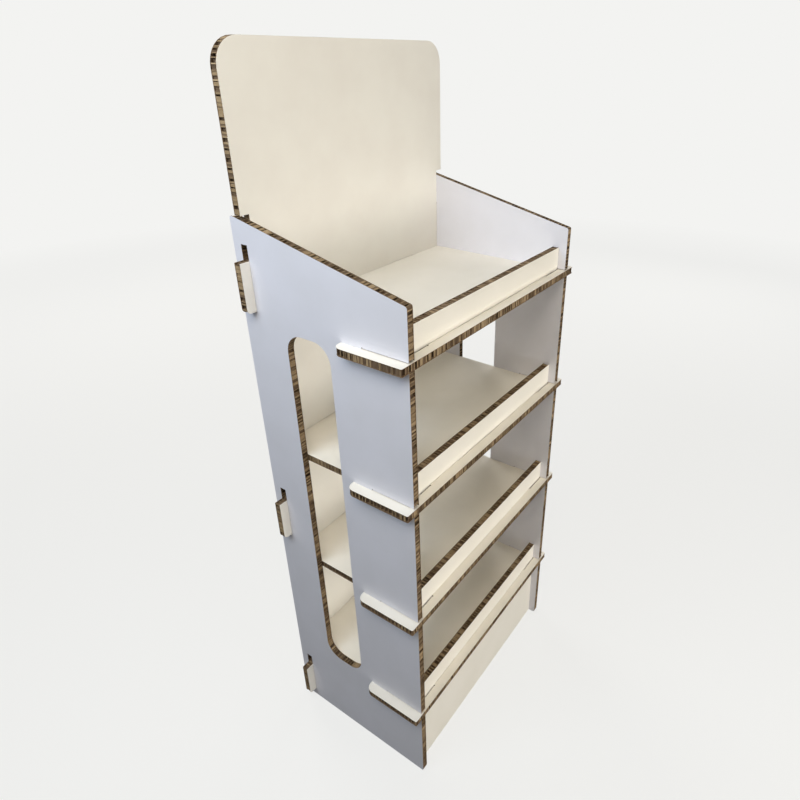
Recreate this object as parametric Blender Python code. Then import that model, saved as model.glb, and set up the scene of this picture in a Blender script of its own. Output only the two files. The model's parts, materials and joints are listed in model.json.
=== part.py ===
"""Display stand slotted together from honeycomb board of one thickness.

Two side panels with a tall window, a back panel that rises into a header, four shelves that lap
through the side panels and show as wings outside them, a lip in front of each shelf, and a kick
panel under the lowest one. Every piece is flat: it is drawn as an outline with rounded corners
and holes, and extruded to the thickness of the board. Along the cut edges that show, slits
between the two face papers open the cells of the core. Metres, +Z up, front towards -Y, origin
on the floor under the middle of the stand. In the drawings a depth is counted from the front
edge of the side panels.
"""

from math import atan2, cos, pi, sin, tan

import bmesh
import bpy
from mathutils import Matrix, Vector

# Board and fits
BOARD = 0.016               # thickness of every board
FIT_GAP = 0.0003            # between faces that touch
SLOT_PLAY = 0.0008          # slack over a tab or a hook in its slot
ARC_STEP = pi / 16          # largest turn between two points of a rounded corner
TOLERANCE = 0.0001          # within which a stretch of an outline counts as on a line

# Cells of the core that a cut edge opens
FACE_PAPER = 0.0009         # thickness of the paper on each side of the core
CELL_PITCH = 0.0168         # from one opened cell to the next along an edge
CELL_SLIT = 0.0042          # width of the opening at the edge
CELL_DEPTH = 0.0075
CUT_MARGIN = 0.001          # how far a cutter stands out of the board

# Side panels
WIDTH = 0.640               # over the outer faces of the side panels
SIDE_DEPTH = 0.426
SIDE_CORNER = 0.005         # radius of the side panel's four corners
TRAY_WALL = 0.104           # height of the front corner over the top shelf
TRAY_RISE = 0.094           # how much higher the rear corner is than the front one
WINDOW_WIDTH = 0.118
WINDOW_CORNER = 0.043       # radius of its four corners
WINDOW_SILL = 0.0045        # its lower end over the top face of the lowest shelf
WINDOW_HEAD = 0.0025        # its upper end below the underside of the top shelf
WINDOW_SHIFT = 0.003        # how far it lies behind the middle between the slots and the back

# Shelves, number 1 at the top
SHELF_COUNT = 4
LOWEST_SHELF = 0.236        # top face of the lowest shelf over the floor
SHELF_PITCH = 0.320
SHELF_PROUD = 0.003         # front edge ahead of the side panels
LAP_DEPTH = 0.108           # depth of the slot in the side panel that takes a shelf
LAP_PLAY = 0.0016           # slack over a shelf in that slot, which shows as a dark seam
RELIEF_CUT = 0.0018         # the knife runs this far past the corner where a slot's seam ends
WING_REACH = 0.024          # how far a wing stands out from the side panel
WING_TONGUE = 0.0505        # length of the wing behind the slot's closed end
WING_CORNER = 0.018         # radius of the wing's rear corner
WING_NOSE = 0.003           # radius of the wing's front corner
REAR_TAB = 0.080            # width of a tab that goes through the back panel
REAR_TAB_SPREAD = 0.300     # between the centres of a shelf's two rear tabs

# Lips in front of the shelves, and the kick panel under the lowest shelf
LIP_SETBACK = 0.0205        # front face behind the side panel's front edge
LIP_HEIGHT = 0.055
MIDDLE_TAB = 0.272          # length of the lip's middle tab
END_TAB = 0.0625            # length of the tab at each end of a lip
END_TAB_INSET = 0.0015      # end of the lip to its end tab
END_TAB_PLAY = 0.0024       # slack in front of the end tabs, which shows as a dark seam
KICK_TAB_SPACE = 0.012      # between a tab of the kick panel and the lip's tabs

# Back panel and header
BACK_SETBACK = 0.022        # rear edge of the side panels behind the back panel
EAR_GAP = 0.0075            # under the header's ears, over the side panel's sloping edge
EAR_REACH = 0.004           # how far the header stands out over the side panels
HEADER_HEIGHT = 0.2985      # from the underside of the ears to the top
HEADER_CORNER = 0.050
HOOK_COUNT = 3
LOWEST_HOOK = 0.059         # bottom of the lowest hook's slot over the floor
TOP_HOOK_MARGIN = 0.0456    # top of the highest hook's slot below the sloping edge
HOOK_HEIGHT = 0.1045        # from a hook's tip to its top
HOOK_DROP = 0.031           # how far a hook's tip hangs below its slot
HOOK_REACH = 0.0225         # how far a hook stands out from the side panel
HOOK_CORNER = 0.010         # radius of the tip's outer corner

# Places that follow from the sizes
outer_face = WIDTH / 2
inner_face = outer_face - BOARD
inner_edge = inner_face - FIT_GAP
side_front = (SHELF_PROUD - SIDE_DEPTH) / 2
back_front = SIDE_DEPTH - BACK_SETBACK - BOARD
back_rear = back_front + BOARD
top_shelf = LOWEST_SHELF + (SHELF_COUNT - 1) * SHELF_PITCH
front_height = top_shelf + TRAY_WALL
rear_height = front_height + TRAY_RISE
end_tab_outer = inner_edge - END_TAB_INSET
end_tab_inner = end_tab_outer - END_TAB
wing_outer = outer_face + WING_REACH

WHITE_PAPER = (0.84, 0.83, 0.79)
COOL_PAPER = (0.72, 0.74, 0.80)
CREAM_PAPER = (0.78, 0.74, 0.66)
KRAFT = (0.28, 0.19, 0.10)
PAPER_ROUGHNESS = 0.62
KRAFT_ROUGHNESS = 0.9


def side_top(depth):
    """Height of the side panel's sloping top edge at a depth."""
    return front_height + TRAY_RISE * depth / SIDE_DEPTH


def shelf_top(number):
    """Height of a shelf's top face; shelf 1 is the highest."""
    return LOWEST_SHELF + (SHELF_COUNT - number) * SHELF_PITCH


def hook_seats():
    """Heights of the slot bottoms on which the hooks rest, evenly spaced from the lowest up."""
    highest = side_top(back_front) - TOP_HOOK_MARGIN - HOOK_HEIGHT
    pitch = (highest - LOWEST_HOOK) / (HOOK_COUNT - 1)
    return [LOWEST_HOOK + pitch * step for step in range(HOOK_COUNT)]


def rounded(corners):
    """Outline through corners (x, y) or (x, y, radius), with an arc at each that has a radius."""
    outline = []
    for index, corner in enumerate(corners):
        here = Vector(corner[:2])
        if len(corner) == 2:
            outline.append(here)
            continue
        radius = corner[2]
        arriving = (here - Vector(corners[index - 1][:2])).normalized()
        leaving = (Vector(corners[(index + 1) % len(corners)][:2]) - here).normalized()
        turn = atan2(arriving.cross(leaving), arriving.dot(leaving))
        start = here - arriving * radius * tan(abs(turn) / 2)
        inward = Vector((-arriving.y, arriving.x)) * (1 if turn > 0 else -1)
        centre = start + inward * radius
        steps = max(1, round(abs(turn) / ARC_STEP))
        for step in range(steps + 1):
            swing = Matrix.Rotation(turn * step / steps, 2)
            outline.append(centre + swing @ (start - centre))
    return outline


def rectangle(left, right, bottom, top):
    """Four corners of a rectangular hole."""
    return [Vector(corner) for corner in ((left, bottom), (right, bottom), (right, top), (left, top))]


def mirrored(half):
    """Whole outline from its right half, listed from the centre line round to the centre line."""
    return half + [(-corner[0],) + tuple(corner[1:]) for corner in reversed(half)]


def paper(name, colour, roughness):
    """Matt material of one colour."""
    material = bpy.data.materials.new(name)
    material.use_nodes = True
    surface = material.node_tree.nodes["Principled BSDF"]
    surface.inputs["Base Color"].default_value = (*colour, 1.0)
    surface.inputs["Roughness"].default_value = roughness
    surface.inputs["Metallic"].default_value = 0.0
    material.diffuse_color = (*colour, 1.0)
    return material


def extruded(name, loops, thickness):
    """Closed mesh of flat loops, those inside another being holes, with a thickness about their plane.

    The fill can leave triangles without area between points on one line. Turning the edges of the
    fill clears them, so that a cut can follow.
    """
    drawing = bpy.data.curves.new(name + "_drawing", "CURVE")
    drawing.dimensions = "2D"
    drawing.fill_mode = "BOTH"
    drawing.extrude = thickness / 2
    for loop in loops:
        spline = drawing.splines.new("POLY")
        spline.points.add(len(loop) - 1)
        for point, spot in zip(spline.points, loop):
            point.co = (spot[0], spot[1], 0.0, 1.0)
        spline.use_cyclic_u = True
    sketch = bpy.data.objects.new(name + "_drawing", drawing)
    stand.objects.link(sketch)
    bpy.context.view_layer.update()
    evaluated = sketch.evaluated_get(bpy.context.evaluated_depsgraph_get())
    mesh = bpy.data.meshes.new_from_object(evaluated)
    mesh.name = name
    bpy.data.objects.remove(sketch)
    bpy.data.curves.remove(drawing)

    shape = bmesh.new()
    shape.from_mesh(mesh)
    bmesh.ops.remove_doubles(shape, verts=shape.verts, dist=0.00001)
    fill = [face for face in shape.faces if len({vertex.co.z > 0 for vertex in face.verts}) == 1]
    inside = [edge for edge in shape.edges if all(face in fill for face in edge.link_faces)]
    bmesh.ops.beautify_fill(shape, faces=fill, edges=inside, method="AREA")
    bmesh.ops.recalc_face_normals(shape, faces=shape.faces)
    shape.to_mesh(mesh)
    shape.free()
    mesh.materials.clear()
    return mesh


def slits(outline, shows):
    """Wedges across each long straight stretch of an outline whose middle passes the test."""
    wedges = []
    for start, end in zip(outline, outline[1:] + outline[:1]):
        length = (end - start).length
        if length < 2 * CELL_PITCH or not shows((start + end) / 2):
            continue
        along = (end - start) / length
        inward = Vector((-along.y, along.x))
        count = int(length / CELL_PITCH)
        first = (length - (count - 1) * CELL_PITCH) / 2
        mouth = along * CELL_SLIT / 2 * (1 + CUT_MARGIN / CELL_DEPTH)
        for number in range(count):
            middle = start + along * (first + number * CELL_PITCH)
            wedges.append([middle - mouth - inward * CUT_MARGIN, middle + mouth - inward * CUT_MARGIN,
                           middle + inward * CELL_DEPTH])
    return wedges


def cut_board(name, outline, holes, place, face_colour, shows=None):
    """Board with an outline and holes, moved into place, with its cells open where its edge shows."""
    face = paper(name + "_paper", face_colour, PAPER_ROUGHNESS)
    cut_edge = paper(name + "_cut_edge", KRAFT, KRAFT_ROUGHNESS)
    mesh = extruded(name, [outline] + holes, BOARD)
    mesh.materials.append(face)
    mesh.materials.append(cut_edge)
    for polygon in mesh.polygons:
        polygon.material_index = 0 if abs(polygon.normal.z) > 0.5 else 1
    piece = bpy.data.objects.new(name, mesh)
    piece.matrix_world = place
    stand.objects.link(piece)

    wedges = slits(outline, shows) if shows else []
    if wedges:
        cutter_mesh = extruded(name + "_slits", wedges, BOARD - 2 * FACE_PAPER)
        cutter_mesh.materials.append(face)
        cutter_mesh.materials.append(cut_edge)
        for polygon in cutter_mesh.polygons:
            polygon.material_index = 1
        cutter = bpy.data.objects.new(name + "_slits", cutter_mesh)
        cutter.matrix_world = place
        cutter.hide_render = True
        cutter.display_type = "WIRE"
        cutters.objects.link(cutter)
        opening = piece.modifiers.new("open_cells", "BOOLEAN")
        opening.operation = "DIFFERENCE"
        opening.object = cutter
    return piece


def flat_at(height):
    """Place of a lying board, drawn in width and depth, whose top face is at a height."""
    return Matrix.Translation((0.0, side_front, height - BOARD / 2))


def across_at(depth):
    """Place of a board that stands across the stand, drawn in width and height."""
    return Matrix.Translation((0.0, side_front + depth + BOARD / 2, 0.0)) @ Matrix.Rotation(pi / 2, 4, "X")


def upright_at(middle):
    """Place of a side panel, drawn in depth and height, whose middle plane is at a width."""
    turn = Matrix(((0, 0, 1, 0), (1, 0, 0, 0), (0, 1, 0, 0), (0, 0, 0, 1)))
    return Matrix.Translation((middle, side_front, 0.0)) @ turn


def side_panel(name, side):
    """Side panel: sloping top, front slots for the shelves, a window, and slots for the hooks."""
    corners = [(SIDE_DEPTH, 0.0, SIDE_CORNER), (SIDE_DEPTH, rear_height, SIDE_CORNER),
               (0.0, front_height, SIDE_CORNER)]
    for number in range(1, SHELF_COUNT + 1):
        slot_top = shelf_top(number) + LAP_PLAY
        slot_bottom = shelf_top(number) - BOARD - FIT_GAP
        relief = LAP_DEPTH - RELIEF_CUT
        corners += [(0.0, slot_top), (relief, slot_top), (relief, slot_top + RELIEF_CUT),
                    (LAP_DEPTH, slot_top + RELIEF_CUT), (LAP_DEPTH, slot_bottom), (0.0, slot_bottom)]
    corners.append((0.0, 0.0, SIDE_CORNER))

    window_middle = (LAP_DEPTH + back_front) / 2 + WINDOW_SHIFT
    window_front = window_middle - WINDOW_WIDTH / 2
    window_rear = window_middle + WINDOW_WIDTH / 2
    sill = LOWEST_SHELF + WINDOW_SILL
    head = top_shelf - BOARD - WINDOW_HEAD
    window = rounded([(window_front, sill, WINDOW_CORNER), (window_rear, sill, WINDOW_CORNER),
                      (window_rear, head, WINDOW_CORNER), (window_front, head, WINDOW_CORNER)])
    hook_slots = [rectangle(back_front - FIT_GAP, back_rear + SLOT_PLAY, seat, seat + HOOK_HEIGHT + FIT_GAP)
                  for seat in hook_seats()]
    middle = side * (outer_face - BOARD / 2)

    def shows(spot):
        at_front_or_rear = spot.x < TOLERANCE or spot.x > SIDE_DEPTH - TOLERANCE
        return at_front_or_rear or spot.y > side_top(spot.x) - TOLERANCE

    return cut_board(name, rounded(corners), [window] + hook_slots, upright_at(middle), COOL_PAPER, shows)


def back_panel():
    """Back panel with three hooks a side, and the header with its ears over the side panels."""
    half = []
    for seat in hook_seats():
        neck = seat + FIT_GAP
        tip = seat - HOOK_DROP
        hook_inner = outer_face + FIT_GAP
        hook_outer = outer_face + HOOK_REACH
        half += [(inner_edge, neck), (hook_inner, neck), (hook_inner, tip),
                 (hook_outer, tip, HOOK_CORNER), (hook_outer, tip + HOOK_HEIGHT),
                 (inner_edge, tip + HOOK_HEIGHT)]
    ear_bottom = side_top(back_rear) + EAR_GAP
    ear_end = outer_face + EAR_REACH
    header_top = ear_bottom + HEADER_HEIGHT
    half = [(inner_edge, 0.0)] + half
    half += [(inner_edge, ear_bottom), (ear_end, ear_bottom), (ear_end, header_top, HEADER_CORNER)]

    tab_slots = []
    for number in range(1, SHELF_COUNT + 1):
        for side in (-1, 1):
            middle = side * REAR_TAB_SPREAD / 2
            tab_slots.append(rectangle(middle - REAR_TAB / 2 - FIT_GAP, middle + REAR_TAB / 2 + FIT_GAP,
                                       shelf_top(number) - BOARD - FIT_GAP, shelf_top(number) + SLOT_PLAY))

    def shows(spot):
        return abs(spot.x) > outer_face + TOLERANCE or spot.y > header_top - TOLERANCE

    return cut_board("back_panel", rounded(mirrored(half)), tab_slots, across_at(back_front),
                     CREAM_PAPER, shows)


def end_tab_slot(side):
    """Slot for a lip's end tab, open in front of it, with the knife's overrun at its inner corner."""
    inner = end_tab_inner - FIT_GAP
    outer = end_tab_outer + FIT_GAP
    front = LIP_SETBACK - END_TAB_PLAY
    rear = LIP_SETBACK + BOARD + FIT_GAP
    overrun = RELIEF_CUT / 2
    corners = [(inner - overrun, front - overrun), (inner + RELIEF_CUT, front - overrun),
               (inner + RELIEF_CUT, front), (outer, front), (outer, rear), (inner, rear),
               (inner, front + RELIEF_CUT), (inner - overrun, front + RELIEF_CUT)]
    return [Vector((side * width, depth)) for width, depth in corners]


def lip_tab_spans():
    """Left and right ends of a lip's three tabs."""
    return [(-end_tab_outer, -end_tab_inner), (-MIDDLE_TAB / 2, MIDDLE_TAB / 2),
            (end_tab_inner, end_tab_outer)]


def kick_tab_spans():
    """Left and right ends of the kick panel's two tabs, which stand between the lip's tabs."""
    inner = MIDDLE_TAB / 2 + KICK_TAB_SPACE
    outer = end_tab_inner - KICK_TAB_SPACE
    return [(-outer, -inner), (inner, outer)]


def shelf(number):
    """Shelf with a wing outside each side panel, slots for its lip, and two tabs at the rear."""
    wing_inner = outer_face + FIT_GAP
    wing_rear = LAP_DEPTH + WING_TONGUE
    slot_end = LAP_DEPTH - FIT_GAP
    rear = back_front - FIT_GAP
    tab_inner = (REAR_TAB_SPREAD - REAR_TAB) / 2
    half = [(wing_outer, -SHELF_PROUD, WING_NOSE), (wing_outer, wing_rear, WING_CORNER),
            (wing_inner, wing_rear), (wing_inner, slot_end), (inner_edge, slot_end),
            (inner_edge, rear), (tab_inner + REAR_TAB, rear), (tab_inner + REAR_TAB, back_rear),
            (tab_inner, back_rear), (tab_inner, rear)]
    spans = [(-MIDDLE_TAB / 2, MIDDLE_TAB / 2)]
    if number == SHELF_COUNT:
        spans += kick_tab_spans()
    tab_slots = [rectangle(left - FIT_GAP, right + FIT_GAP,
                           LIP_SETBACK - SLOT_PLAY, LIP_SETBACK + BOARD + FIT_GAP)
                 for left, right in spans]
    tab_slots += [end_tab_slot(-1), end_tab_slot(1)]

    def shows(spot):
        return spot.y < TOLERANCE - SHELF_PROUD or abs(spot.x) > wing_outer - TOLERANCE

    return cut_board(f"shelf_{number}", rounded(mirrored(half)), tab_slots,
                     flat_at(shelf_top(number)), WHITE_PAPER, shows)


def lip(number):
    """Lip that stands on a shelf between the side panels, with three tabs down into the shelf."""
    foot = shelf_top(number) + FIT_GAP
    tab_end = shelf_top(number) - BOARD
    corners = [(-inner_edge, foot)]
    for left, right in lip_tab_spans():
        corners += [(left, foot), (left, tab_end), (right, tab_end), (right, foot)]
    crest = shelf_top(number) + LIP_HEIGHT
    corners += [(inner_edge, foot), (inner_edge, crest), (-inner_edge, crest)]

    def shows(spot):
        return spot.y > crest - TOLERANCE

    return cut_board(f"lip_{number}", rounded(corners), [], across_at(LIP_SETBACK), WHITE_PAPER, shows)


def kick_panel():
    """Panel from the floor to the lowest shelf, with two tabs up into it under the lip."""
    crest = LOWEST_SHELF - BOARD - FIT_GAP
    corners = [(-inner_edge, 0.0), (inner_edge, 0.0), (inner_edge, crest)]
    for left, right in reversed(kick_tab_spans()):
        corners += [(right, crest), (right, LOWEST_SHELF), (left, LOWEST_SHELF), (left, crest)]
    corners.append((-inner_edge, crest))
    return cut_board("kick_panel", rounded(corners), [], across_at(LIP_SETBACK), WHITE_PAPER)


for leftover in list(bpy.data.objects):
    bpy.data.objects.remove(leftover)
stand = bpy.data.collections.new("display_stand")
bpy.context.scene.collection.children.link(stand)
cutters = bpy.data.collections.new("cutters")
bpy.context.scene.collection.children.link(cutters)

side_panel("side_panel_left", -1)
side_panel("side_panel_right", 1)
back_panel()
for shelf_number in range(1, SHELF_COUNT + 1):
    shelf(shelf_number)
    lip(shelf_number)
kick_panel()
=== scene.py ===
import json
import math

import bpy
import numpy as np
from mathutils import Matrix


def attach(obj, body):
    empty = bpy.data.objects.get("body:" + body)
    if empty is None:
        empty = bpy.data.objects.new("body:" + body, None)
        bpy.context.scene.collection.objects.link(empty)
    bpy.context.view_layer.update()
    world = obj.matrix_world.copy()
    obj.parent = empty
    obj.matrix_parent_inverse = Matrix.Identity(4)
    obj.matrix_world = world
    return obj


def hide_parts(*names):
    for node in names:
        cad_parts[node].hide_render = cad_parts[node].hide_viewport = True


# A floor-standing display stand, slotted together from white-faced honeycomb board. Each CAD node
# is one board, and a board with its paper and its opened core takes its place here.

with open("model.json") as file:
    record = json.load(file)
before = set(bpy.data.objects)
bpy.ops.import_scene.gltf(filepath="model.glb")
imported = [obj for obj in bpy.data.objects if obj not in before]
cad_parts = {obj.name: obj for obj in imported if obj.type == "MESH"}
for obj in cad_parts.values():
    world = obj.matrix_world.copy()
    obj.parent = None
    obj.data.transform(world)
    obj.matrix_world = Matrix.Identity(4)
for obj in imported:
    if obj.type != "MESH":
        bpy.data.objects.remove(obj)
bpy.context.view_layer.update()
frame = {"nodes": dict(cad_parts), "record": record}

MM = 0.001

# The board: two face papers glued to an open paper honeycomb
FACE_PAPER = 0.9 * MM           # one face: its white top sheet and the kraft sheet under it
CELL_WALL = 5.6 * MM            # length of one side of a cell
CELL_PERIOD = 3 * CELL_WALL     # from one glued wall to the next in its row
ROW_SPACING = math.sqrt(3) / 2 * CELL_WALL
CORE_PAPER = 0.34 * MM          # one cell wall
GLUED_PAPER = 0.55 * MM         # two walls glued back to back
CELL_SCATTER = 0.7 * MM         # how far a corner of a cell strays from the even lattice
CORE_SKEW = math.radians(2.5)   # the most that a board's honeycomb is turned against the board
CORE_BAND = 15.0 * MM           # the honeycomb is made this far in from every cut edge
GLUED_WALLS_ALONG = {           # as a world axis, for each kind of board
    "side_panel": 2,
    "back_panel": 2,
    "shelf": 0,
    "lip": 0,
    "kick_panel": 0,
}

# The cut: a knife set the core back a little, tore its walls and folded some of them over
CUT_SET_BACK = 0.3 * MM         # the core ends this far inside the edge of the face papers
CUT_RAGGED = 0.6 * MM           # how much further back a wall may be torn
TEAR_POWER = 2                  # the tear is a chance from 0 to 1 to this power, so deep ones are rare
SHORT_FOLD = 0.6 * MM           # length of a wall's end that lies folded over along the cut
LONG_FOLD = 6.5 * MM
FOLD_PATCH = 160 * MM           # long and short folds take turns along an edge at about this pitch
PATCH_POWER = 4                 # the higher, the narrower the patches of long folds
CHANCE_POWER = 2                # the higher, the rarer a long fold between the patches
FOLD_EVENNESS = 0.6             # share of the length that the patch sets; the rest is chance
LENGTHWAYS_FOLD = 1.1           # how much longer a fold is where the cut runs along the glued walls
LEAST_LEAN = math.radians(1.5)  # a folded end leans into the board
MOST_LEAN = math.radians(14)
FOLDED_FORWARDS = 0.85          # share of the ends folded the way that the knife went

# Limits of the working-out
SAME_PLANE = 0.01 * MM          # corners nearer than this to a plane lie on it
PARALLEL = 1e-15                # square metres: under this cross product, two lines don't meet
MOST_CROSSINGS = 5              # of one wall with the outline
LEAST_SLANT = 0.25              # smallest sine between a wall and the cut that the set-back follows
SHORTEST_WALL = 0.4 * MM        # shorter scraps are left out

SEED = 1488                     # each board adds its own number to it

# The papers of a board, in the order of its material slots
TOP, INNER, CUT, FOLDED = range(4)
PAPER_RUN = "wall"              # the boards' own UV map, in metres along and across the paper

# Corners of the six faces of a wall's box, pointing outwards: 0 to 3 are its lower ring
WALL_BOX = np.array([
    [0, 3, 2, 1],
    [4, 5, 6, 7],
    [0, 1, 5, 4],
    [1, 2, 6, 5],
    [2, 3, 7, 6],
    [3, 0, 4, 7],
])


# The boards: every shape is worked out as whole arrays

def in_plane(thin):
    """The two world axes of a board's face, ordered so that their cross product is the axis thin."""
    return (thin + 1) % 3, (thin + 2) % 3


def solid_arrays(node):
    """A CAD node's corner positions, each once, and its triangles as rows of corner numbers."""
    mesh = frame["nodes"][node].data
    mesh.calc_loop_triangles()
    points = np.zeros(len(mesh.vertices) * 3, np.float32)
    mesh.vertices.foreach_get("co", points)
    triangles = np.zeros(len(mesh.loop_triangles) * 3, np.int32)
    mesh.loop_triangles.foreach_get("vertices", triangles)
    points, same = np.unique(points.reshape(-1, 3), axis=0, return_inverse=True)
    return points.astype(float), same.reshape(-1)[triangles].reshape(-1, 3)


def board_face(node):
    """The outline and triangles of the face that looks along the board's thin axis.

    The face is every triangle whose three corners lie on the high plane. The outline is the edges
    of those triangles that no second one shares, each with the board on its left.
    """
    points, triangles = solid_arrays(node)
    low, high = points.min(0), points.max(0)
    thin = int(np.argmin(high - low))
    on_face = (np.abs(points[triangles][:, :, thin] - high[thin]) < SAME_PLANE).all(1)
    corners, renamed = np.unique(triangles[on_face], return_inverse=True)
    faces = renamed.reshape(-1, 3)
    edges = np.concatenate([faces[:, [0, 1]], faces[:, [1, 2]], faces[:, [2, 0]]])
    count = len(corners)
    code = edges[:, 0] * count + edges[:, 1]
    back = edges[:, 1] * count + edges[:, 0]
    outline = edges[~np.isin(code, back)]
    flat = points[corners][:, in_plane(thin)]
    return flat, faces, outline, thin, low[thin], high[thin]


def face_paper(flat, faces, outline, bottom, top, over, below):
    """One face paper: its points, its triangles and the paper that each triangle shows.

    The face stands at the top, turned over at the bottom, and each outline edge has a wall of two
    triangles between them. The top shows the paper over, the bottom the paper below, the walls a cut.
    """
    count = len(flat)
    points = np.concatenate([np.c_[flat, np.full(count, bottom)], np.c_[flat, np.full(count, top)]])
    start, end = outline[:, 0], outline[:, 1]
    rim = np.concatenate([np.c_[start, end, end + count], np.c_[start, end + count, start + count]])
    triangles = np.concatenate([faces + count, faces[:, ::-1], rim])
    shows = np.repeat([over, below, CUT], [len(faces), len(faces), len(rim)])
    return points, triangles, shows


def lattice(low, high, along, scatter):
    """Walls of a honeycomb over a rectangle, as start points, end points and which are glued double.

    Row n lies at n row spacings. In each row a glued wall starts every three sides, and odd rows are
    shifted by one and a half. From a wall's far end two single walls run to the next glued walls in
    the rows above and below. The whole is turned and shifted a little, and every corner strays.
    """
    across = 1 - along
    spare = math.tan(CORE_SKEW) * (high - low).max() + CELL_PERIOD
    low, high = low - spare, high + spare
    rows = int((high[across] - low[across]) / ROW_SPACING) + 1
    columns = int((high[along] - low[along]) / CELL_PERIOD) + 1
    n, m = np.meshgrid(np.arange(rows), np.arange(columns), indexing="ij")
    left = np.zeros((rows, columns, 2))
    left[..., along] = low[along] + (3 * m + 1.5 * (n % 2)) * CELL_WALL
    left[..., across] = low[across] + n * ROW_SPACING
    right = left.copy()
    right[..., along] += CELL_WALL
    skew = scatter.uniform(-1, 1) * CORE_SKEW
    turn = np.array([[math.cos(skew), math.sin(skew)], [-math.sin(skew), math.cos(skew)]])
    shift = scatter.uniform(-1, 1, 2) * CELL_WALL
    middle = (low + high) / 2
    left = (left - middle) @ turn + middle + shift + scatter.uniform(-1, 1, left.shape) * CELL_SCATTER
    right = (right - middle) @ turn + middle + shift + scatter.uniform(-1, 1, right.shape) * CELL_SCATTER
    starts = [left.reshape(-1, 2)]
    ends = [right.reshape(-1, 2)]
    glued = [np.ones(rows * columns, bool)]
    for step in (1, -1):
        next_row, next_column = n + step, m + n % 2
        there = (next_row >= 0) & (next_row < rows) & (next_column < columns)
        starts.append(right[n[there], m[there]])
        ends.append(left[next_row[there], next_column[there]])
        glued.append(np.zeros(int(there.sum()), bool))
    return np.concatenate(starts), np.concatenate(ends), np.concatenate(glued)


def distance_to_outline(spots, from_point, to_point):
    """Distance of each spot to the nearest outline edge: to the foot of its perpendicular, or an end."""
    edge = to_point - from_point
    offset = spots[:, None] - from_point[None]
    share = np.clip((offset * edge).sum(-1) / (edge * edge).sum(-1), 0, 1)
    return np.sqrt(((offset - share[..., None] * edge) ** 2).sum(-1)).min(1)


def is_inside(spots, from_point, to_point):
    """Whether each spot is on the board: a ray along the first axis meets an odd number of edges."""
    over = (from_point[None, :, 1] > spots[:, None, 1]) != (to_point[None, :, 1] > spots[:, None, 1])
    rise = to_point[:, 1] - from_point[:, 1]
    slope = (to_point[:, 0] - from_point[:, 0]) / np.where(rise == 0, 1, rise)
    crossing = from_point[:, 0] + (spots[:, None, 1] - from_point[None, :, 1]) * slope
    return (over & (crossing > spots[:, None, 0])).sum(1) % 2 == 1


def lengths(lines):
    """Length of each vector, as a column."""
    return np.sqrt((lines ** 2).sum(-1))[:, None]


def crossings(starts, ends, from_point, to_point):
    """Where walls (rows) cross outline edges (columns), and the sine of the angle between the two.

    Both are solved from the cross products of the wall, the edge and the gap between their starts.
    The place is a share of the wall's length, and not a number where the two don't meet.
    """
    run = ends - starts
    edge = to_point - from_point
    turn = run[:, None, 0] * edge[None, :, 1] - run[:, None, 1] * edge[None, :, 0]
    turn = np.where(np.abs(turn) < PARALLEL, np.nan, turn)
    gap = from_point[None] - starts[:, None]
    at = (gap[..., 0] * edge[None, :, 1] - gap[..., 1] * edge[None, :, 0]) / turn
    on_edge = (gap[..., 0] * run[:, None, 1] - gap[..., 1] * run[:, None, 0]) / turn
    at = np.where((at > 0) & (at < 1) & (on_edge >= 0) & (on_edge <= 1), at, np.nan)
    return at, np.abs(turn) / (lengths(run) * lengths(edge).T)


def standing_walls(starts, ends, glued, from_point, to_point, scatter):
    """The parts of the walls that are on the board, set back and torn a little at a cut.

    A wall is split where it crosses the outline, and a part stays where its middle is on the board.
    The set-back is measured square to the cut, so along the wall it is divided by the slant.
    """
    run = ends - starts
    at, slant = crossings(starts, ends, from_point, to_point)
    order = np.argsort(at, axis=1)[:, :MOST_CROSSINGS]
    at = np.take_along_axis(at, order, 1)
    slant = np.take_along_axis(slant, order, 1)
    back = CUT_SET_BACK / np.clip(np.nan_to_num(slant, nan=1.0), LEAST_SLANT, 1)
    none = np.zeros(len(starts))
    places = np.c_[none, np.where(np.isnan(at), 1, at), none + 1]
    back = np.c_[none, back, none]
    first, last = places[:, :-1], places[:, 1:]
    middle = starts[:, None] + ((first + last) / 2)[..., None] * run[:, None]
    kept = is_inside(middle.reshape(-1, 2), from_point, to_point).reshape(first.shape)
    length = lengths(run)
    torn = scatter.uniform(0, 1, (*first.shape, 2)) ** TEAR_POWER * CUT_RAGGED
    first = first + np.where(first > 0, (torn[..., 0] + back[:, :-1]) / length, 0)
    last = last - np.where(last < 1, (torn[..., 1] + back[:, 1:]) / length, 0)
    kept &= (last - first) * length > SHORTEST_WALL
    wall, part = np.nonzero(kept)
    new_starts = starts[wall] + first[wall, part][:, None] * run[wall]
    new_ends = starts[wall] + last[wall, part][:, None] * run[wall]
    return new_starts, new_ends, glued[wall]


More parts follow.
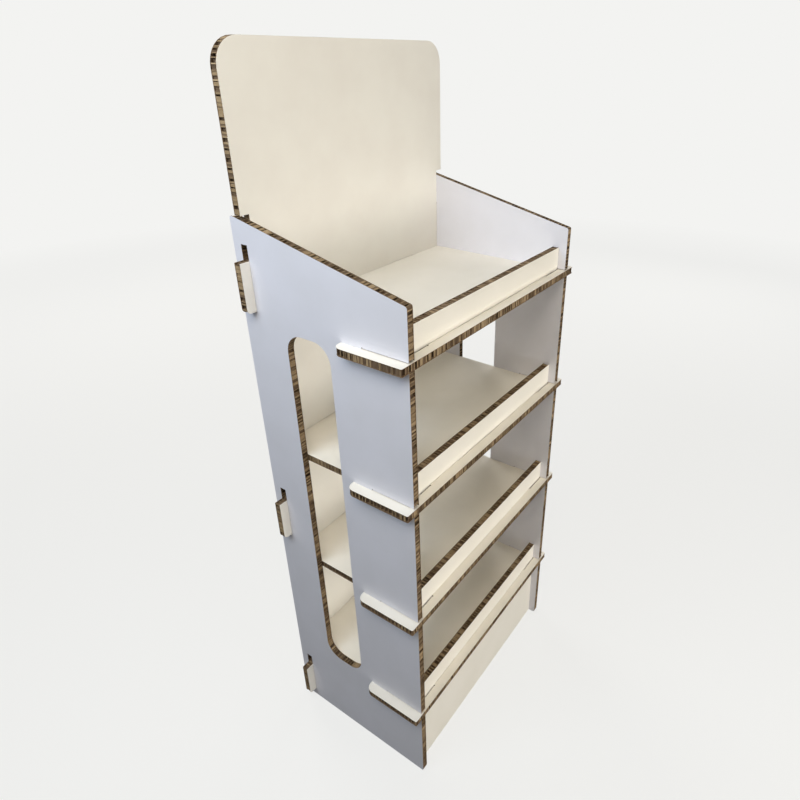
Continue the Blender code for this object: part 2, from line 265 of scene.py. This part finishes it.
def folded_ends(starts, ends, from_point, to_point, along, scatter):
    """Lines of the wall ends that the knife folded over, along the cut edge and a little inside it.

    Each starts where a wall crosses the outline and runs along that outline edge, leaning inwards by
    an angle. Its length goes from short to long by a share, which is part a patch and part chance.
    The patch is a sine of the place on the board, brought between 0 and 1 and raised to a power, and
    the chance is raised to one too. The length then grows with the cosine between the edge and the
    glued walls, because the walls stand further apart there. An end whose middle or tip would come
    near another edge is left out.
    """
    at, _ = crossings(starts, ends, from_point, to_point)
    wall, side = np.nonzero(np.isfinite(at))
    count = len(wall)
    spot = starts[wall] + at[wall, side][:, None] * (ends - starts)[wall]
    edge = (to_point - from_point)[side]
    edge = edge / lengths(edge)
    inward = np.c_[-edge[:, 1], edge[:, 0]]
    way = np.where(scatter.uniform(0, 1, count) < FOLDED_FORWARDS, 1, -1)
    swing = np.sin(2 * math.pi * (spot.sum(-1) / FOLD_PATCH + scatter.uniform()))
    patch = ((swing + 1) / 2) ** PATCH_POWER
    chance = scatter.uniform(0, 1, count) ** CHANCE_POWER
    share = FOLD_EVENNESS * patch + (1 - FOLD_EVENNESS) * chance
    stretch = 1 + LENGTHWAYS_FOLD * np.abs(edge[:, along])
    length = (SHORT_FOLD + (LONG_FOLD - SHORT_FOLD) * share) * stretch
    lean = scatter.uniform(LEAST_LEAN, MOST_LEAN, count)
    depth = CUT_SET_BACK + scatter.uniform(0, 1, count) * CUT_RAGGED
    first = spot + depth[:, None] * inward
    forwards = (way * length * np.cos(lean))[:, None] * edge
    last = first + forwards + (length * np.sin(lean))[:, None] * inward
    fits = np.ones(count, bool)
    for check in ((first + last) / 2, last):
        fits &= is_inside(check, from_point, to_point)
        fits &= distance_to_outline(check, from_point, to_point) > CUT_SET_BACK
    return first[fits], last[fits]


def core_walls(flat, outline, along, scatter):
    """Every wall of a board's core as a line: its start, its end, whether it is glued, and its paper."""
    from_point = flat[outline[:, 0]]
    to_point = flat[outline[:, 1]]
    starts, ends, glued = lattice(flat.min(0), flat.max(0), along, scatter)
    near = distance_to_outline((starts + ends) / 2, from_point, to_point) < CORE_BAND
    starts, ends, glued = starts[near], ends[near], glued[near]
    standing = standing_walls(starts, ends, glued, from_point, to_point, scatter)
    folded = folded_ends(starts, ends, from_point, to_point, along, scatter)
    starts = np.concatenate([standing[0], folded[0]])
    ends = np.concatenate([standing[1], folded[1]])
    glued = np.concatenate([standing[2], np.zeros(len(folded[0]), bool)])
    shows = np.repeat([INNER, FOLDED], [len(standing[0]), len(folded[0])])
    return starts, ends, glued, shows


def wall_boxes(starts, ends, glued, bottom, top):
    """A closed box for each wall: its line widened to both sides by half the paper, from bottom to top."""
    run = ends - starts
    run = run / lengths(run)
    side = np.c_[-run[:, 1], run[:, 0]] * (np.where(glued, GLUED_PAPER, CORE_PAPER) / 2)[:, None]
    ring = np.stack([starts - side, ends - side, ends + side, starts + side], 1)
    count = len(starts)
    low = np.concatenate([ring, np.full((count, 4, 1), bottom)], 2)
    high = np.concatenate([ring, np.full((count, 4, 1), top)], 2)
    points = np.concatenate([low, high], 1).reshape(-1, 3)
    faces = (WALL_BOX[None] + 8 * np.arange(count)[:, None, None]).reshape(-1, 4)
    return points, faces


def run_along_walls(starts, ends, scatter):
    """How far along its paper each corner of a wall's box lies, from a chance start to its length on."""
    length = lengths(ends - starts)[:, 0]
    begin = scatter.uniform(0, 1, len(length))
    ring = np.stack([begin, begin + length, begin + length, begin], 1)
    return np.concatenate([ring, ring], 1).reshape(-1)


def add_mesh(name, points, triangles, quads, shows, run, papers):
    """An object of triangles, then quads. shows is the paper of each face, run the UV of each corner."""
    corners = np.concatenate([triangles.reshape(-1), quads.reshape(-1)])
    sizes = np.repeat([3, 4], [len(triangles), len(quads)])
    mesh = bpy.data.meshes.new(name)
    mesh.vertices.add(len(points))
    mesh.vertices.foreach_set("co", points.reshape(-1))
    mesh.loops.add(len(corners))
    mesh.loops.foreach_set("vertex_index", corners)
    mesh.polygons.add(len(sizes))
    mesh.polygons.foreach_set("loop_start", np.cumsum(sizes) - sizes)
    mesh.polygons.foreach_set("material_index", shows)
    mesh.polygons.foreach_set("use_smooth", np.zeros(len(sizes), bool))
    mesh.update(calc_edges=True)
    layer = mesh.uv_layers.new(name=PAPER_RUN)
    layer.data.foreach_set("uv", run.reshape(-1).astype(np.float32))
    for paper in papers:
        mesh.materials.append(paper)
    piece = bpy.data.objects.new(name, mesh)
    bpy.context.scene.collection.objects.link(piece)
    return piece


def add_board(node, papers, scatter):
    """The board that stands for a CAD node: two face papers and, near its cut edges, the honeycomb.

    It is worked out lying flat, with its thickness as the third coordinate, and then stood up: its
    two flat coordinates go to the world axes of its face, and the third to its thin axis. The paper's
    run is the sum of the flat coordinates on the face papers and the length along a wall in the core.
    """
    flat, faces, outline, thin, bottom, top = board_face(node)
    kind = next(name for name in GLUED_WALLS_ALONG if node.startswith(name))
    along = in_plane(thin).index(GLUED_WALLS_ALONG[kind])
    upper = face_paper(flat, faces, outline, top - FACE_PAPER, top, TOP, INNER)
    under = face_paper(flat, faces, outline, bottom, bottom + FACE_PAPER, INNER, TOP)
    starts, ends, glued, wall_shows = core_walls(flat, outline, along, scatter)
    core_points, core_faces = wall_boxes(starts, ends, glued, bottom + FACE_PAPER, top - FACE_PAPER)
    points = np.concatenate([upper[0], under[0], core_points])
    triangles = np.concatenate([upper[1], under[1] + len(upper[0])])
    quads = core_faces + len(upper[0]) + len(under[0])
    shows = np.concatenate([upper[2], under[2], np.repeat(wall_shows, len(WALL_BOX))])
    sheet_points = points[triangles.reshape(-1)]
    sheet_run = np.c_[sheet_points[:, :2].sum(1), sheet_points[:, 2]]
    core_corners = core_faces.reshape(-1)
    core_run = np.c_[run_along_walls(starts, ends, scatter)[core_corners], core_points[core_corners, 2]]
    run = np.concatenate([sheet_run, core_run])
    world = np.zeros_like(points)
    world[:, [*in_plane(thin), thin]] = points
    return add_mesh(node + "_board", world, triangles, quads, shows, run, papers)


# Materials

def linear(code):
    """sRGB hex to linear red, green, blue and alpha: a straight foot, then a power of 2.4."""
    value = np.array([int(code[n:n + 2], 16) / 255 for n in (1, 3, 5)])
    value = np.where(value <= 0.04045, value / 12.92, ((value + 0.055) / 1.055) ** 2.4)
    return (*value.tolist(), 1.0)


def add_node(tree, kind, inputs=None, **settings):
    """Adds a node of a kind with its settings. An input takes an output to link, or a value."""
    node = tree.nodes.new(kind)
    for name, value in settings.items():
        setattr(node, name, value)
    for name, source in (inputs or {}).items():
        if isinstance(source, bpy.types.NodeSocket):
            tree.links.new(source, node.inputs[name])
        else:
            node.inputs[name].default_value = source
    return node


def paper_finish(name, roughness):
    """A new material with the paper's roughness on its shader."""
    material = bpy.data.materials.new(name)
    material.use_nodes = True
    tree = material.node_tree
    shader = tree.nodes["Principled BSDF"]
    shader.inputs["Roughness"].default_value = roughness
    return material, tree, shader


def colour_and_relief(tree, shader, pattern, tones, relief, strength, height):
    """Gives the paper its colour, a pattern from 0 to 1 read through its tones, and its relief.

    tones are places in the pattern, rising, each with an sRGB colour. The relief is another pattern,
    as high as height, and strength is how much of it the light sees.
    """
    colour = add_node(tree, "ShaderNodeValToRGB", {"Fac": pattern})
    stops = colour.color_ramp.elements
    stops[0].position = tones[0][0]
    stops[0].color = linear(tones[0][1])
    stops[1].position = tones[-1][0]
    stops[1].color = linear(tones[-1][1])
    for place, code in tones[1:-1]:
        stops.new(place).color = linear(code)
    bump = add_node(tree, "ShaderNodeBump", {"Height": relief, "Strength": strength, "Distance": height})
    tree.links.new(colour.outputs["Color"], shader.inputs["Base Color"])
    tree.links.new(bump.outputs["Normal"], shader.inputs["Normal"])


# Clay-coated white top sheet, calendered matt: an even, dull white with faint clouds where the
# coating is thicker, fine fibres in low light, and shallow dimples where the cells hold the sheet.
# It is the same sheet in three tints near each other, one for each material slot of the record.
COATED_TONES = {                # slot: name, two tones
    "cool_white_board": ("cool_white_coated_paper", [(0.35, "#E1E0E6"), (0.65, "#E5E4EB")]),
    "cream_board": ("cream_coated_paper", [(0.35, "#EEE9DF"), (0.65, "#F2EEE4")]),
    "white_board": ("white_coated_paper", [(0.35, "#F4EFE3"), (0.65, "#F8F3E8")]),
}
COATED_ROUGHNESS = 0.62
COATING_CLOUD = 111 * MM        # from cloud to cloud
CLOUD_DETAIL = 3.0
CLOUD_FINENESS = 0.55           # how much the finer steps of the noise count
CELL_PITCH = 10 * MM            # from dimple to dimple
DIMPLE_SCATTER = 0.7
COATED_FIBRE = 1.6 * MM         # real fibres are finer; this is the finest that a close view shows
FIBRE_DETAIL = 2.0
COATED_RELIEF = 0.1 * MM
COATED_RELIEF_SEEN = 0.1        # share of it that the light sees: the coating fills the rest


def coated_paper(name, tones):
    """The coated sheet: clouds of noise for its tones, fibres plus dimples for its relief."""
    material, tree, shader = paper_finish(name, COATED_ROUGHNESS)
    place = add_node(tree, "ShaderNodeTexCoord").outputs["Object"]
    clouds = add_node(tree, "ShaderNodeTexNoise", {
        "Vector": place,
        "Scale": 1 / COATING_CLOUD,
        "Detail": CLOUD_DETAIL,
        "Roughness": CLOUD_FINENESS,
    })
    dimples = add_node(tree, "ShaderNodeTexVoronoi", {
        "Vector": place,
        "Scale": 1 / CELL_PITCH,
        "Randomness": DIMPLE_SCATTER,
    }, feature="SMOOTH_F1")
    fibres = add_node(tree, "ShaderNodeTexNoise", {
        "Vector": place,
        "Scale": 1 / COATED_FIBRE,
        "Detail": FIBRE_DETAIL,
    })
    relief = add_node(tree, "ShaderNodeMath", {
        0: fibres.outputs["Fac"],
        1: dimples.outputs["Distance"],
    }, operation="ADD")
    colour_and_relief(tree, shader, clouds.outputs["Fac"], tones,
                      relief.outputs["Value"], COATED_RELIEF_SEEN, COATED_RELIEF)
    return material


# Unbleached kraft made from recycled fibre, rough and matt, in the order of the slots after TOP.
# Each has streaks across the board, where its fibres run and the knife dragged, and a slower change
# from one strip of paper to the next.
KRAFT_PAPERS = [                # name, roughness, three tones
    # Cell walls and the inner sides of the face papers: never pressed smooth, so they are dull. Their
    # kraft is painted darker than the folded ends, as painted shade for deep in the cells
    ("kraft_core_paper", 0.9, [(0.36, "#4E3C29"), (0.5, "#64503A"), (0.64, "#7C6750")]),
    # The knife-cut edge of a face paper: its fibres are closed by the blade, and it is a little lighter
    ("cut_kraft_edge", 0.85, [(0.36, "#604C36"), (0.5, "#785F44"), (0.64, "#90775A")]),
    # Cell walls folded over by the knife: their flat side looks outwards and shows as a pale bar
    ("folded_kraft_core_paper", 0.8, [(0.36, "#7A6547"), (0.5, "#967E5C"), (0.64, "#AF9775")]),
]
KRAFT_STREAK = 2.2 * MM         # width of a streak
STREAK_DETAIL = 4.0
STREAK_DRAWN_OUT = (1.0, 0.12, 1.0)     # height counts for less, so streaks run across the board
KRAFT_STRIP = 30 * MM           # pitch of the slower change
STRIP_DETAIL = 1.0
KRAFT_RELIEF = 0.2 * MM
KRAFT_RELIEF_SEEN = 0.4         # bare fibres show more of theirs


def kraft_paper(name, roughness, tones):
    """The kraft sheet: its tones follow the mean of streaks and strips, its relief the streaks alone."""
    material, tree, shader = paper_finish(name, roughness)
    run = add_node(tree, "ShaderNodeUVMap", uv_map=PAPER_RUN).outputs["UV"]
    drawn_out = add_node(tree, "ShaderNodeMapping", {"Vector": run, "Scale": STREAK_DRAWN_OUT})
    streaks = add_node(tree, "ShaderNodeTexNoise", {
        "Vector": drawn_out.outputs["Vector"],
        "Scale": 1 / KRAFT_STREAK,
        "Detail": STREAK_DETAIL,
    })
    strips = add_node(tree, "ShaderNodeTexNoise", {
        "Vector": drawn_out.outputs["Vector"],
        "Scale": 1 / KRAFT_STRIP,
        "Detail": STRIP_DETAIL,
    })
    both = add_node(tree, "ShaderNodeMath", {
        0: streaks.outputs["Fac"],
        1: strips.outputs["Fac"],
    }, operation="ADD")
    mean = add_node(tree, "ShaderNodeMath", {0: both.outputs["Value"], 1: 0.5}, operation="MULTIPLY")
    colour_and_relief(tree, shader, mean.outputs["Value"], tones,
                      streaks.outputs["Fac"], KRAFT_RELIEF_SEEN, KRAFT_RELIEF)
    return material


slot_of = {part["node"]: part["material_slot"] for part in frame["record"]["subparts"]}
top_papers = {slot: coated_paper(name, tones) for slot, (name, tones) in COATED_TONES.items()}
kraft_papers = [kraft_paper(name, roughness, tones) for name, roughness, tones in KRAFT_PAPERS]

for number, node in enumerate(sorted(frame["nodes"])):
    papers = [top_papers[slot_of[node]], *kraft_papers]
    board = add_board(node, papers, np.random.default_rng(SEED + number))
    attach(board, "root")
    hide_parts(node)


# The photo's camera
EYE = (-1.05307, -0.80303, 1.66954)
AZIMUTH = math.radians(-56.4068)
ELEVATION = math.radians(27.8062)
ROLL = math.radians(0.4369)
PICTURE = 800                           # pixels to a side
FOCAL_PIXELS = 611.397
MIDDLE_PIXEL = (459.45, 375.52)         # where the camera's axis meets the picture
SENSOR = 36.0                           # millimetres


def add_camera():
    """The camera looks along the azimuth, down by the elevation, and is turned about that by the roll."""
    ahead = np.array([
        -math.sin(AZIMUTH) * math.cos(ELEVATION),
        math.cos(AZIMUTH) * math.cos(ELEVATION),
        -math.sin(ELEVATION),
    ])
    level = np.cross(ahead, (0, 0, 1))
    level /= np.linalg.norm(level)
    upright = np.cross(level, ahead)
    sideways = math.cos(ROLL) * level + math.sin(ROLL) * upright
    up = -math.sin(ROLL) * level + math.cos(ROLL) * upright
    turn = np.eye(4)
    turn[:3] = np.column_stack([sideways, up, -ahead, EYE])
    data = bpy.data.cameras.new("camera")
    data.sensor_width = SENSOR
    data.lens = FOCAL_PIXELS / PICTURE * SENSOR
    data.shift_x = (PICTURE / 2 - MIDDLE_PIXEL[0]) / PICTURE
    data.shift_y = (MIDDLE_PIXEL[1] - PICTURE / 2) / PICTURE
    camera = bpy.data.objects.new("camera", data)
    bpy.context.scene.collection.objects.link(camera)
    camera.matrix_world = turn.T.tolist()
    bpy.context.scene.camera = camera


add_camera()


# Large soft lamps, as in a studio: three are cool, as daylight is, and the rest warm
LAMPS = {                       # name: place, the point it faces, side in metres, watts, colour
    "front_fill": ((-1.0, -5.0, 1.3), (0, 0, 0.7), 2.0, 26, "#EAF5FF"),
    "near_front": ((0.2, -2.5, 0.9), (0, -0.2, 0.4), 1.2, 19, "#FFFBF2"),
    "low_front": ((-0.6, -4.2, 0.55), (-0.1, 0, 0.6), 1.0, 33, "#FFF8EE"),
    "front_right": ((1.5, -5.0, 1.6), (0, 0, 0.6), 2.0, 13, "#FFF9F0"),
    "cool_window": ((-1.8, 0.5, 2.4), (0, 0, 1.4), 1.2, 20, "#E4F2FF"),
    "left_near": ((-1.15, 0.1, 2.3), (-0.3, 0, 1.1), 0.8, 7.5, "#E6F1FF"),
    "left_upper": ((-1.3, -0.9, 2.9), (-0.2, 0, 1.0), 1.0, 19, "#FFF5E2"),
    "right_fill": ((4.2, 0.4, 2.0), (0, 0, 0.9), 2.4, 58, "#FFFDF8"),
    "rear_fill": ((1.5, 4.0, 2.6), (0, 0, 0.9), 2.4, 92, "#FFFCF6"),
}


def add_lamp(name, place, aim, side, power, colour):
    """A soft square lamp at a place, tipped up from straight down and then turned, to face a point."""
    data = bpy.data.lights.new(name, "AREA")
    data.shape = "SQUARE"
    data.size = side
    data.energy = power
    data.color = linear(colour)[:3]
    lamp = bpy.data.objects.new(name, data)
    bpy.context.scene.collection.objects.link(lamp)
    lamp.location = place
    x, y, z = np.array(aim, float) - place
    lamp.rotation_euler = (math.atan2(math.hypot(x, y), -z), 0, math.atan2(-x, y))


for name, (place, aim, side, power, colour) in LAMPS.items():
    add_lamp(name, place, aim, side, power, colour)


BACKDROP = "#F3F3F1"            # pale studio paper behind and under the stand
BOUNCE = "#55524E"              # what the floor gives back to the stand
SOFT_LIGHT = "#F4F6FF"          # the room's own light
SOFT_LIGHT_LEVEL = 0.06
FLOOR_SIDE = 60                 # metres
FADE_START = 2.0                # metres from the stand's middle
FADE_END = 6.0
NEAREST_FADE = 0.8              # share of plain backdrop in the floor beside the stand


def seen_itself(tree):
    """1 where the camera or a reflection sees the surface itself, 0 where it only gives light."""
    path = add_node(tree, "ShaderNodeLightPath")
    seen = add_node(tree, "ShaderNodeMath", {
        0: path.outputs["Is Camera Ray"],
        1: path.outputs["Is Glossy Ray"],
    }, operation="MAXIMUM")
    return seen.outputs["Value"]


def light_surroundings():
    """The world: an even soft light, and the backdrop where it is seen itself."""
    world = bpy.data.worlds.new("world")
    world.use_nodes = True
    bpy.context.scene.world = world
    tree = world.node_tree
    tree.nodes.clear()
    soft = add_node(tree, "ShaderNodeBackground", {
        "Color": linear(SOFT_LIGHT),
        "Strength": SOFT_LIGHT_LEVEL,
    })
    pale = add_node(tree, "ShaderNodeBackground", {"Color": linear(BACKDROP), "Strength": 1.0})
    light = add_node(tree, "ShaderNodeMixShader", {
        0: seen_itself(tree),
        1: soft.outputs["Background"],
        2: pale.outputs["Background"],
    })
    add_node(tree, "ShaderNodeOutputWorld", {"Surface": light.outputs["Shader"]})


def floor_material():
    """Matt studio floor paint, rolled on: even and without shine, so it shows only the stand's shadow.

    Seen itself, it is a mix of pale paint, which takes the shadow, and plain backdrop, whose share
    rises evenly with the distance from the middle. To the stand it gives back only a grey bounce.
    """
    material = bpy.data.materials.new("studio_floor_paint")
    material.use_nodes = True
    tree = material.node_tree
    tree.nodes.clear()
    place = add_node(tree, "ShaderNodeTexCoord").outputs["Object"]
    distance = add_node(tree, "ShaderNodeVectorMath", {0: place}, operation="LENGTH")
    fade = add_node(tree, "ShaderNodeMapRange", {
        "Value": distance.outputs["Value"],
        "From Min": FADE_START,
        "From Max": FADE_END,
        "To Min": NEAREST_FADE,
    })
    bounce = add_node(tree, "ShaderNodeBsdfDiffuse", {"Color": linear(BOUNCE)})
    pale = add_node(tree, "ShaderNodeBsdfDiffuse", {"Color": linear(BACKDROP)})
    plain = add_node(tree, "ShaderNodeEmission", {"Color": linear(BACKDROP), "Strength": 1.0})
    shown = add_node(tree, "ShaderNodeMixShader", {
        0: fade.outputs["Result"],
        1: pale.outputs["BSDF"],
        2: plain.outputs["Emission"],
    })
    surface = add_node(tree, "ShaderNodeMixShader", {
        0: seen_itself(tree),
        1: bounce.outputs["BSDF"],
        2: shown.outputs["Shader"],
    })
    add_node(tree, "ShaderNodeOutputMaterial", {"Surface": surface.outputs["Shader"]})
    return material


light_surroundings()
bpy.ops.mesh.primitive_plane_add(size=FLOOR_SIDE)
floor = bpy.context.active_object
floor.name = "floor"
floor.data.materials.append(floor_material())

bpy.context.scene.view_settings.view_transform = "Standard"
